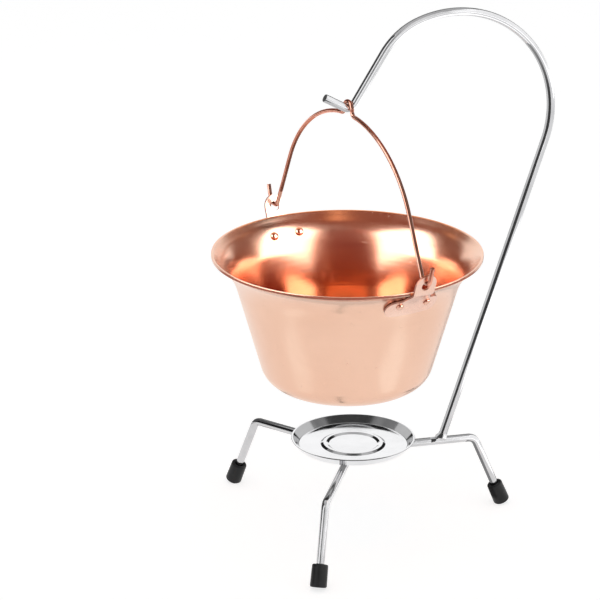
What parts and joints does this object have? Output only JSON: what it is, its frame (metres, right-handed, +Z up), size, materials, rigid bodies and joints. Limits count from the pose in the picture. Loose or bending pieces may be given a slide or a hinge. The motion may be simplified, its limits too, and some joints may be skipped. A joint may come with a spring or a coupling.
{
  "type": "serving cauldron with stand",
  "caption": "Flared copper pot with riveted ears and a wire bail, hung from the hook of an arched chromed rod stand with splayed legs, black foot caps and a burner dish below.",
  "frame": {"origin": "on the floor, under the middle of the whole object's bounding box", "axes": "+Z up; the stand's arch lies in the XZ plane with its stem on the +X side, and the hook's open mouth points to -X and up"},
  "size_m": [0.2358, 0.2032, 0.3553],
  "materials": {
    "satin_copper": "satin, spun, pale copper colour",
    "copper_wire": "smooth drawn wire, copper colour",
    "copper_rivet": "polished, copper colour",
    "chromed_rod": "bright chrome plate",
    "polished_steel": "polished sheet",
    "black_vinyl": "satin black, dipped or moulded"
  },
  "bodies": {
    "stand": {"hook_rod": "chromed_rod", "leg_right": "chromed_rod", "leg_left": "chromed_rod", "leg_front": "chromed_rod", "foot_cap_right": "black_vinyl", "foot_cap_left": "black_vinyl", "foot_cap_front": "black_vinyl", "burner_dish": "polished_steel"},
    "bail": {"bail_handle": "copper_wire"},
    "cauldron": {"cauldron_bowl": "satin_copper", "ear_front": "satin_copper", "ear_back": "satin_copper", "rivet_front_left": "copper_rivet", "rivet_front_right": "copper_rivet", "rivet_back_left": "copper_rivet", "rivet_back_right": "copper_rivet"}
  },
  "joints": [
    {"name": "bail_lift", "type": "slide", "parent": "stand", "child": "bail", "axis": [-0.8746, 0, 0.4848], "range_m": [0, 0.04]},
    {"name": "pot_swing", "type": "hinge", "parent": "bail", "child": "cauldron", "pos_m": [-0.02803, 0, 0.2009], "axis": [0.2079, -0.9781, 0], "range_deg": [-90, 60]}
  ]
}
